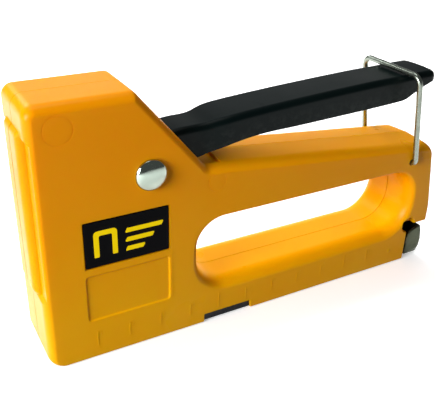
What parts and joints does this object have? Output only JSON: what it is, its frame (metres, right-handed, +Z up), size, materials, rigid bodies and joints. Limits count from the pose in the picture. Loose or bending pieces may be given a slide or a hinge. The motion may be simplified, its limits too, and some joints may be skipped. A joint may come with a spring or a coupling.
{
  "type": "staple gun",
  "caption": "Hand-operated staple gun: moulded shell with finger hole, pressed steel squeeze lever held by a wire bail, and a pull-out staple magazine.",
  "frame": {"origin": "on the base plane, under the middle of the overall length and width", "axes": "+X from the nose (front) to the magazine clip (rear), +Y across to the right-hand shell, +Z up from the base"},
  "size_m": [0.143, 0.0286, 0.0792],
  "materials": {
    "shell": "glossy moulded plastic, a little translucent",
    "label": "glossy printed label",
    "lever": "black satin paint on pressed steel",
    "clip": "zinc-plated sheet",
    "wire": "bright drawn wire",
    "rivet": "polished dome",
    "steel": "plain sheet steel",
    "dark_steel": "oiled dark steel",
    "spring": "spring wire",
    "fastener": "zinc-plated screw",
    "bumper": "matt rubber",
    "black_plastic": "moulded acetal"
  },
  "bodies": {
    "housing": {"left_shell": "shell", "right_shell": "shell", "left_label": "label", "screw_head": "fastener", "screw_grip": "fastener", "screw_rear": "fastener", "screw_base": "fastener", "pivot_rivet": "rivet", "spring_seat": "dark_steel", "hammer_bumper": "bumper", "nose_plate": "steel", "magazine_channel": "dark_steel", "staple_rail": "steel"},
    "lever": {"lever": "lever", "lift_pin": "steel", "lever_spring": "spring"},
    "hammer": {"hammer_block": "dark_steel", "driver_blade": "steel", "power_spring": "spring"},
    "magazine_unit": {"pusher_rod": "steel", "rod_block": "black_plastic", "magazine_clip": "clip", "clip_rivet": "rivet", "pusher_spring": "spring"},
    "follower": {"follower": "black_plastic"},
    "bail": {"wire_bail": "wire"}
  },
  "joints": [
    {"name": "lever_hinge", "type": "hinge", "parent": "housing", "child": "lever", "pos_m": [-0.03825, 0, 0.0558], "axis": [0, 1, 0], "range_deg": [0, 7], "stiffness_Nm_per_rad": 1.2, "springref_deg": -20.05, "deforming": ["lever_spring"]},
    {"name": "hammer_slide", "type": "slide", "parent": "housing", "child": "hammer", "axis": [0, 0, 1], "range_m": [0, 0.0021], "deforming": ["power_spring"]},
    {"name": "bail_swing", "type": "hinge", "parent": "housing", "child": "bail", "pos_m": [0.05885, 0, 0.0402], "axis": [0, 1, 0], "range_deg": [0, 155]},
    {"name": "magazine_pull", "type": "slide", "parent": "housing", "child": "magazine_unit", "axis": [1, 0, 0], "range_m": [0, 0.105]},
    {"name": "follower_slide", "type": "slide", "parent": "magazine_unit", "child": "follower", "axis": [1, 0, 0], "range_m": [0, 0.08], "stiffness_N_per_m": 8, "springref_m": -0.06, "deforming": ["pusher_spring"]}
  ],
  "couplings": [
    {"joint": "hammer_slide", "follows": "lever_hinge", "m_per_rad": 0.0165}
  ]
}
